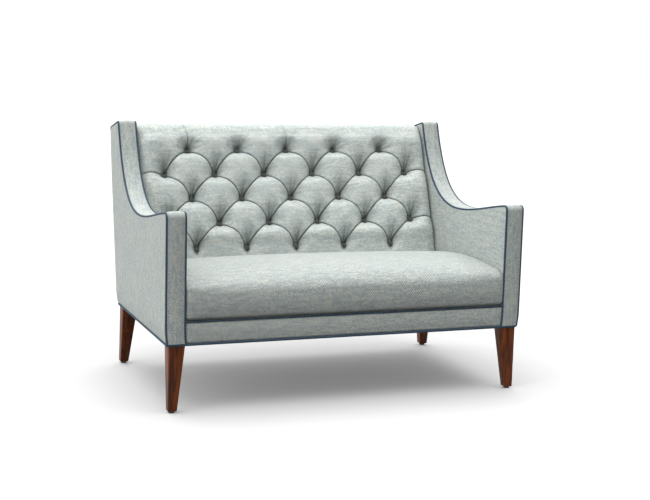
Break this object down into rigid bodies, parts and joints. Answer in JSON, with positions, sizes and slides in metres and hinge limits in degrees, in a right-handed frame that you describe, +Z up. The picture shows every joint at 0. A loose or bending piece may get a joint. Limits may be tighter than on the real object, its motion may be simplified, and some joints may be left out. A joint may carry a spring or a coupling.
{
  "type": "settee",
  "caption": "High back two-seat settee with swooping piped arms, deep buttoned inside back, fixed crowned seat and square tapered wooden legs.",
  "frame": {"origin": "middle of the footprint, on the floor", "axes": "+X along the settee towards its right arm as seen from the front, -Y is the front, +Z up"},
  "size_m": [1.302, 0.8628, 0.9138],
  "materials": {
    "cover": "woven, matte",
    "button_cover": "woven, matte",
    "piping": "woven, matte",
    "dust_cloth": "nonwoven, matte",
    "foam": "open cell foam",
    "webbing": "woven elastic",
    "wood_frame": "raw, sawn",
    "wood_leg": "stained, satin lacquer",
    "steel": "zinc plated",
    "glide": "moulded, matte"
  },
  "bodies": {
    "root": {"arm_post_left": "wood_frame", "arm_post_right": "wood_frame", "arm_rail_left": "wood_frame", "arm_rail_right": "wood_frame", "wing_board_left": "wood_frame", "wing_board_right": "wood_frame", "back_post_left": "wood_frame", "back_post_right": "wood_frame", "back_stile_left": "wood_frame", "back_stile_right": "wood_frame", "side_rail_left": "wood_frame", "side_rail_right": "wood_frame", "front_rail": "wood_frame", "seat_back_rail": "wood_frame", "rear_rail": "wood_frame", "top_rail": "wood_frame", "back_low_rail": "wood_frame", "back_centre_stile": "wood_frame", "seat_brace": "wood_frame", "corner_blocks": "wood_frame", "seat_webs_long": "webbing", "seat_webs_cross": "webbing", "back_webs_tall": "webbing", "back_webs_wide": "webbing", "seat_foam": "foam", "seat_pad": "cover", "back_foam": "foam", "back_pad": "cover", "buttons": "button_cover", "arm_inside_left": "cover", "arm_inside_right": "cover", "arm_outside_left": "cover", "arm_outside_right": "cover", "facing_left": "cover", "facing_right": "cover", "outside_back": "cover", "front_border": "cover", "dust_cover": "dust_cloth", "piping_outer_left": "piping", "piping_outer_right": "piping", "piping_inner_left": "piping", "piping_inner_right": "piping", "base_piping": "piping", "seat_piping": "piping", "leg_front_left": "wood_leg", "leg_front_right": "wood_leg", "leg_back_left": "wood_leg", "leg_back_right": "wood_leg", "leg_inserts": "steel", "leg_bolts": "steel", "glide_front_left": "glide", "glide_front_right": "glide", "glide_back_left": "glide", "glide_back_right": "glide"}
  },
  "joints": []
}
